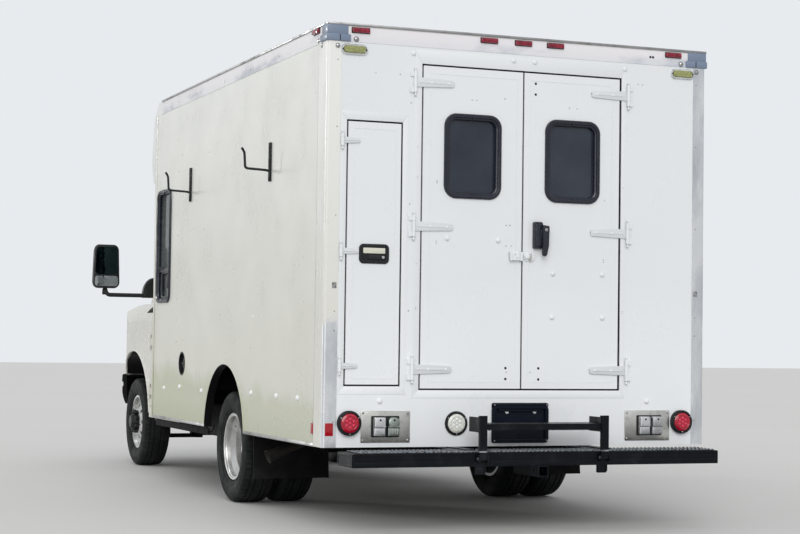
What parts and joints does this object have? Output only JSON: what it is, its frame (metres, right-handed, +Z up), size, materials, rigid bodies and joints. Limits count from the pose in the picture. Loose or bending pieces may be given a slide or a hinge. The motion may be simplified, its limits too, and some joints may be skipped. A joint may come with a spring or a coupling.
{
  "type": "ambulance",
  "caption": "Box-bodied ambulance on a short-nosed cutaway van: twin rear doors, side entry, hooks on the left wall, steered front wheels, twin rear wheels and a folding rear step.",
  "frame": {"origin": "on the ground under the centre of the bounding box", "axes": "+X is the vehicle's left, -Y its front, +Z up"},
  "size_m": [3.02, 6.724, 2.907],
  "materials": {
    "white_paint": "satin, scuffed",
    "roof_paint": "satin, weathered",
    "cab_paint": "gloss",
    "bare_aluminium": "polished, scuffed",
    "black_steel": "satin",
    "chassis_black": "dull, dusty",
    "cast": "rough",
    "steel": "bright, weathered",
    "exhaust_steel": "dull",
    "tyre": "moulded",
    "black_plastic": "grained",
    "trim_grey": "grained",
    "seat_cloth": "woven",
    "cabinet_laminate": "smooth",
    "dark_glass": "tinted",
    "lamp_clear": "fluted",
    "lamp_red": "lens"
  },
  "bodies": {
    "vehicle_body": {"chassis_frame": "chassis_black", "engine_block": "cast", "front_crossmember": "chassis_black", "rear_axle": "chassis_black", "propshaft": "chassis_black", "exhaust": "exhaust_steel", "fuel_tank": "chassis_black", "body_floor": "chassis_black", "left_wall": "white_paint", "right_wall": "white_paint", "rear_wall": "white_paint", "front_wall": "white_paint", "front_cap": "white_paint", "roof_panel": "roof_paint", "top_rails": "white_paint", "corner_posts": "bare_aluminium", "cab_shell": "cab_paint", "fenders": "cab_paint", "grille_panel": "cab_paint", "headlamps": "lamp_clear", "front_bumper": "black_plastic", "fixed_panes": "dark_glass", "dashboard": "trim_grey", "seats": "seat_cloth", "cabinets": "cabinet_laminate", "side_hooks": "black_steel", "rear_bumper": "black_steel", "tail_lamps": "lamp_red"},
    "steering_left": {"knuckle_left": "cast"},
    "steering_right": {"knuckle_right": "cast"},
    "front_wheel_left": {"front_tyre_left": "tyre", "front_rim_left": "steel"},
    "front_wheel_right": {"front_tyre_right": "tyre", "front_rim_right": "steel"},
    "rear_wheels_left": {"rear_tyres_left": "tyre", "rear_rims_left": "steel"},
    "rear_wheels_right": {"rear_tyres_right": "tyre", "rear_rims_right": "steel"},
    "rear_door_left": {"rear_door_left": "white_paint", "rear_pane_left": "dark_glass"},
    "rear_door_right": {"rear_door_right": "white_paint", "rear_pane_right": "dark_glass"},
    "compartment_door": {"compartment_door": "white_paint"},
    "entry_door": {"entry_door": "white_paint"},
    "cab_door_left": {"cab_door_left": "cab_paint", "cab_pane_left": "dark_glass", "mirror_left": "black_plastic"},
    "cab_door_right": {"cab_door_right": "cab_paint", "cab_pane_right": "dark_glass", "mirror_right": "black_plastic"},
    "hood": {"hood": "cab_paint"},
    "step": {"folding_step": "black_steel"},
    "steering_wheel": {"steering_wheel": "black_plastic"}
  },
  "joints": [
    {"name": "steer_left", "type": "hinge", "parent": "vehicle_body", "child": "steering_left", "pos_m": [0.7, -2.502, 0.366], "axis": [0, 0, 1], "range_deg": [-35, 35]},
    {"name": "steer_right", "type": "hinge", "parent": "vehicle_body", "child": "steering_right", "pos_m": [-0.7, -2.502, 0.366], "axis": [0, 0, 1], "range_deg": [-35, 35]},
    {"name": "steering_wheel_turn", "type": "hinge", "parent": "vehicle_body", "child": "steering_wheel", "pos_m": [0.43, -1.5, 1.29], "axis": [0, 0.8944, 0.4472], "range_deg": [-560, 560]},
    {"name": "front_spin_left", "type": "hinge", "parent": "steering_left", "child": "front_wheel_left", "pos_m": [0.8675, -2.502, 0.366], "axis": [1, 0, 0], "continuous": true},
    {"name": "front_spin_right", "type": "hinge", "parent": "steering_right", "child": "front_wheel_right", "pos_m": [-0.8675, -2.502, 0.366], "axis": [1, 0, 0], "continuous": true},
    {"name": "rear_spin_left", "type": "hinge", "parent": "vehicle_body", "child": "rear_wheels_left", "pos_m": [0.925, 1.028, 0.366], "axis": [1, 0, 0], "continuous": true},
    {"name": "rear_spin_right", "type": "hinge", "parent": "vehicle_body", "child": "rear_wheels_right", "pos_m": [-0.925, 1.028, 0.366], "axis": [1, 0, 0], "continuous": true},
    {"name": "rear_door_left_hinge", "type": "hinge", "parent": "vehicle_body", "child": "rear_door_left", "pos_m": [0.69, 3.034, 1.735], "axis": [0, 0, -1], "range_deg": [0, 150]},
    {"name": "rear_door_right_hinge", "type": "hinge", "parent": "vehicle_body", "child": "rear_door_right", "pos_m": [-0.69, 3.034, 1.735], "axis": [0, 0, 1], "range_deg": [0, 150]},
    {"name": "compartment_door_hinge", "type": "hinge", "parent": "vehicle_body", "child": "compartment_door", "pos_m": [1.128, 3.034, 1.58], "axis": [0, 0, -1], "range_deg": [0, 140]},
    {"name": "entry_door_hinge", "type": "hinge", "parent": "vehicle_body", "child": "entry_door", "pos_m": [-1.232, -0.794, 1.65], "axis": [0, 0, 1], "range_deg": [0, 100]},
    {"name": "cab_door_left_hinge", "type": "hinge", "parent": "vehicle_body", "child": "cab_door_left", "pos_m": [1.012, -1.894, 0.84], "axis": [0, 0, -1], "range_deg": [0, 65]},
    {"name": "cab_door_right_hinge", "type": "hinge", "parent": "vehicle_body", "child": "cab_door_right", "pos_m": [-1.012, -1.894, 0.84], "axis": [0, 0, 1], "range_deg": [0, 65]},
    {"name": "hood_hinge", "type": "hinge", "parent": "vehicle_body", "child": "hood", "pos_m": [0, -2.354, 1.402], "axis": [-1, 0, 0], "range_deg": [0, 55]},
    {"name": "step_fold", "type": "hinge", "parent": "vehicle_body", "child": "step", "pos_m": [0, 3.345, 0.425], "axis": [-1, 0, 0], "range_deg": [0, 180]}
  ],
  "couplings": [
    {"joint": "steer_right", "follows": "steer_left", "ratio": 1},
    {"joint": "steering_wheel_turn", "follows": "steer_left", "ratio": 16}
  ]
}
